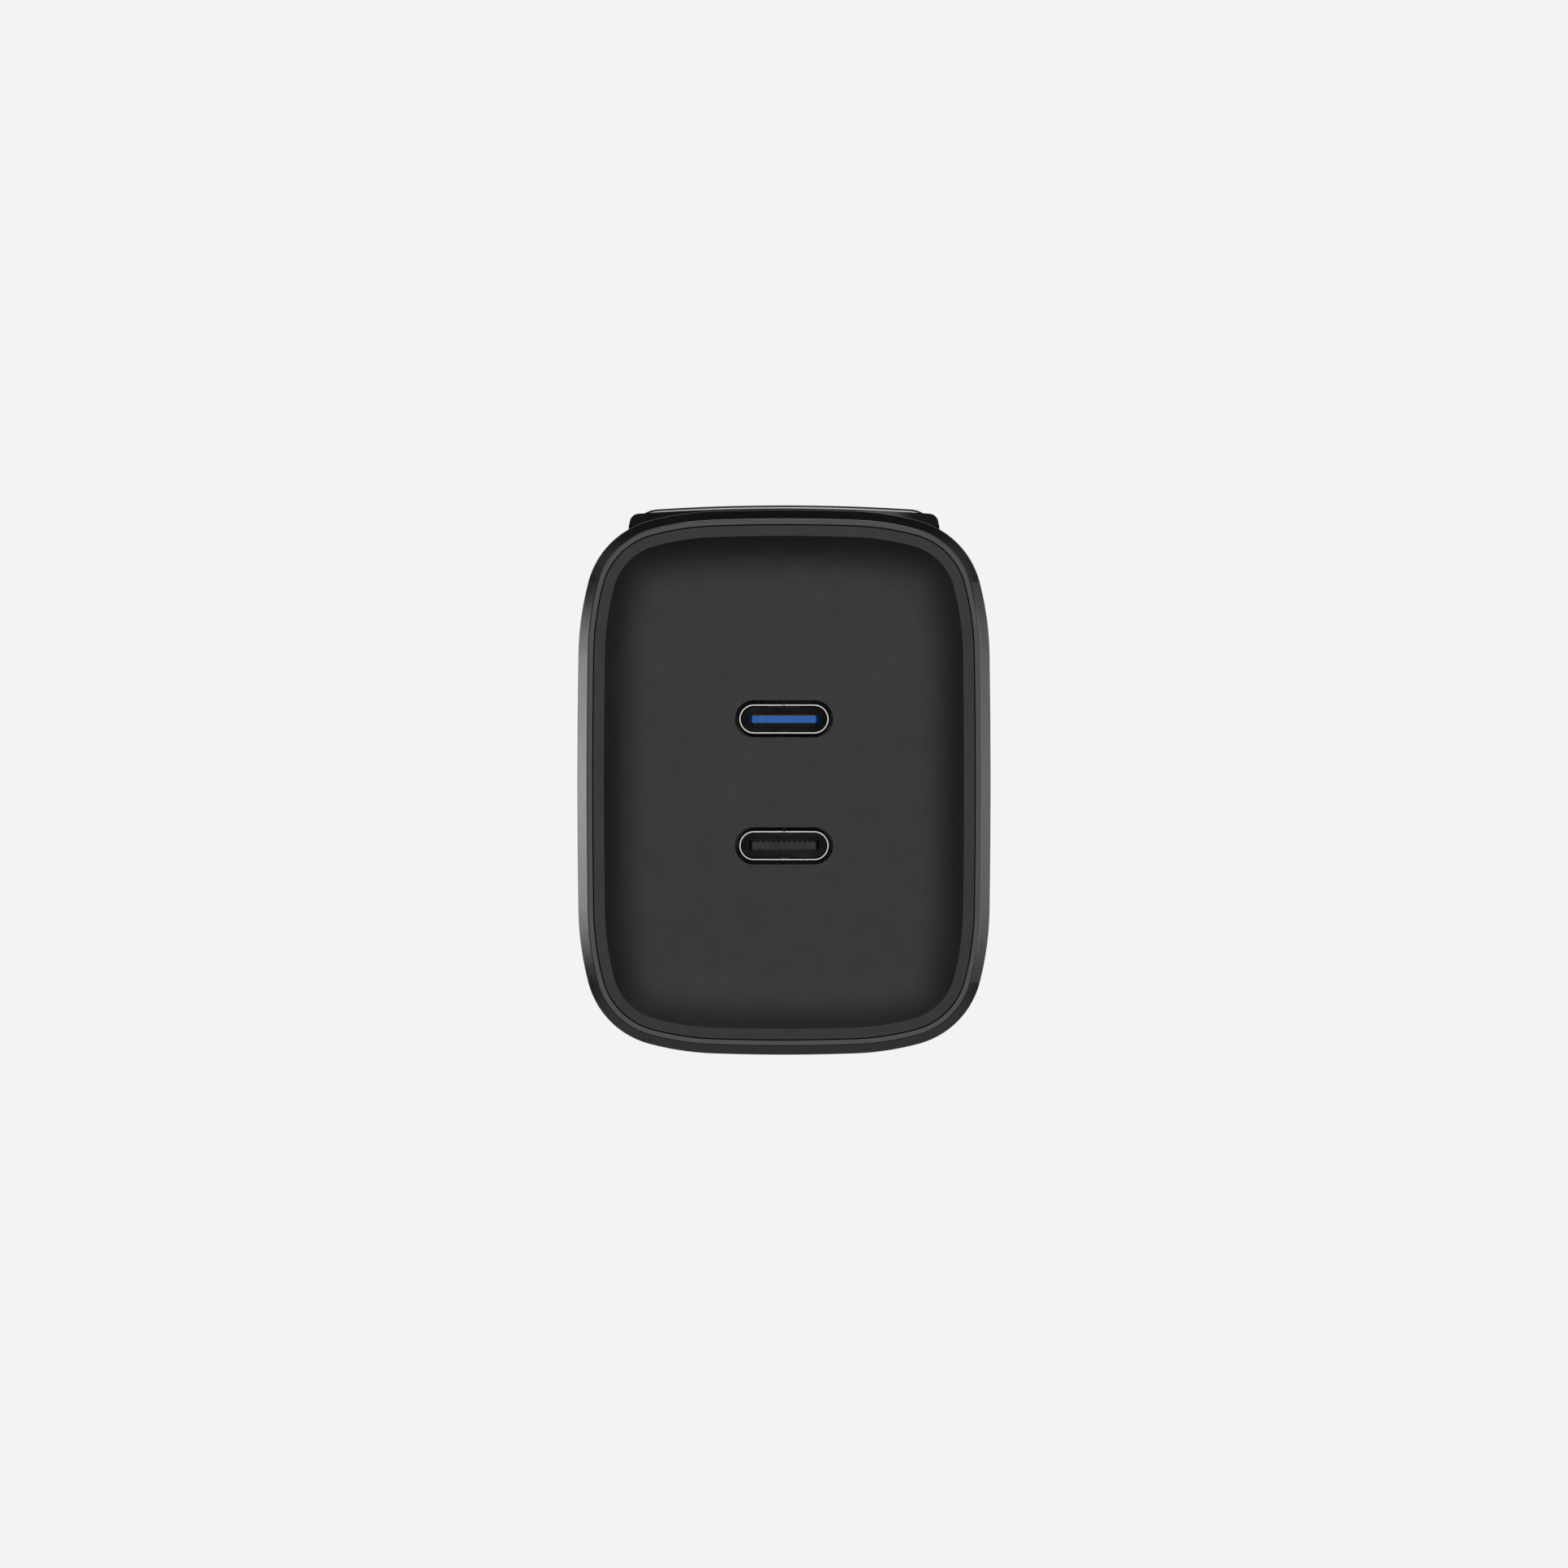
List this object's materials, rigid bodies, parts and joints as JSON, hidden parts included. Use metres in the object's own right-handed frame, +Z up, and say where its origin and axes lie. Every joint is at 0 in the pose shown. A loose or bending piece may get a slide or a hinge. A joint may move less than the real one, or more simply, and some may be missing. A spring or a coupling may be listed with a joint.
{
  "type": "usb wall charger",
  "caption": "Compact upright wall charger with rounded corners, USB-C sockets in a dished front panel, and a slide-on round-pin plug head behind.",
  "frame": {"origin": "centre of the plug head's engagement face, midway between the two mains pins", "axes": "+Y points into the wall socket along the pins, +Z is up with the sockets' long sides level, +X is to the right seen from the USB-C sockets"},
  "size_m": [0.0398, 0.0665, 0.0551],
  "materials": {
    "housing_plastic": "satin black polycarbonate with a fine moulded grain",
    "panel_plastic": "matte black polycarbonate, fine spark-eroded texture",
    "dock_plastic": "plain black moulding",
    "button_plastic": "satin black moulding",
    "plug_plastic": "satin black polycarbonate",
    "sleeve_plastic": "black nylon sleeve",
    "spring_steel": "rolled spring steel",
    "pin_nickel": "nickel-plated brass",
    "contact_copper": "tin-plated copper alloy",
    "port_steel": "deep-drawn stainless steel",
    "tongue_blue": "blue glass-filled nylon",
    "tongue_grey": "dark grey glass-filled nylon",
    "contact_gold": "gold-plated copper alloy",
    "board_green": "solder-masked glass-epoxy board",
    "pin_brass": "tinned brass pins",
    "header_black": "black nylon",
    "ferrite": "sintered ferrite",
    "bobbin_black": "phenolic bobbin",
    "winding_tape": "yellow polyester tape over copper wire",
    "can_sleeve": "heat-shrunk film on an aluminium can",
    "winding_copper": "enamelled copper wire",
    "film_box": "film capacitor's moulded box",
    "disc_blue": "lacquered ceramic disc",
    "disc_red": "lacquered varistor disc",
    "fuse_body": "ceramic tube",
    "chip_black": "moulded epoxy",
    "capacitor_aluminium": "bare aluminium can",
    "ceramic_tan": "ceramic chip",
    "spreader_aluminium": "rolled aluminium sheet",
    "film_clear": "polyester film"
  },
  "bodies": {
    "plug_head": {"plug_base": "plug_plastic", "plug_boss": "plug_plastic", "mains_pin_left": "pin_nickel", "pin_sleeve_left": "sleeve_plastic", "head_contact_left": "contact_copper", "mains_pin_right": "pin_nickel", "pin_sleeve_right": "sleeve_plastic", "head_contact_right": "contact_copper"},
    "charger": {"housing": "housing_plastic", "front_panel": "panel_plastic", "rear_dock": "dock_plastic", "latch_spring": "spring_steel", "dock_contact_left": "contact_copper", "heat_spreader_left": "spreader_aluminium", "dock_contact_right": "contact_copper", "heat_spreader_right": "spreader_aluminium", "port_shell_upper": "port_steel", "port_tongue_upper": "tongue_blue", "port_contacts_upper": "contact_gold", "port_mid_plate_upper": "port_steel", "port_shell_lower": "port_steel", "port_tongue_lower": "tongue_grey", "port_contacts_lower": "contact_gold", "port_mid_plate_lower": "port_steel", "port_board": "board_green", "main_board": "board_green", "board_link_pins": "pin_brass", "pin_header": "header_black", "transformer_core": "ferrite", "transformer_bobbin": "bobbin_black", "transformer_winding": "winding_tape", "bulk_capacitors": "can_sleeve", "choke_core": "ferrite", "choke_winding": "winding_copper", "x_capacitor": "film_box", "y_capacitor": "disc_blue", "varistor": "disc_red", "fuse_tube": "fuse_body", "fuse_caps": "pin_nickel", "bridge_rectifier": "chip_black", "power_switch": "chip_black", "optocoupler": "chip_black", "output_capacitors": "capacitor_aluminium", "buck_inductors": "chip_black", "controller_chips": "chip_black", "ceramic_capacitors": "ceramic_tan", "insulating_film": "film_clear"},
    "button": {"release_button": "button_plastic"}
  },
  "joints": [
    {"name": "charger_slide", "type": "slide", "parent": "plug_head", "child": "charger", "axis": [0, 0, -1], "range_m": [0, 0.031], "deforming": ["latch_spring"]},
    {"name": "button_press", "type": "slide", "parent": "charger", "child": "button", "axis": [0, -1, 0], "range_m": [0, 0.0012], "stiffness_N_per_m": 1500, "springref_m": -0.0005, "deforming": ["latch_spring"]}
  ]
}
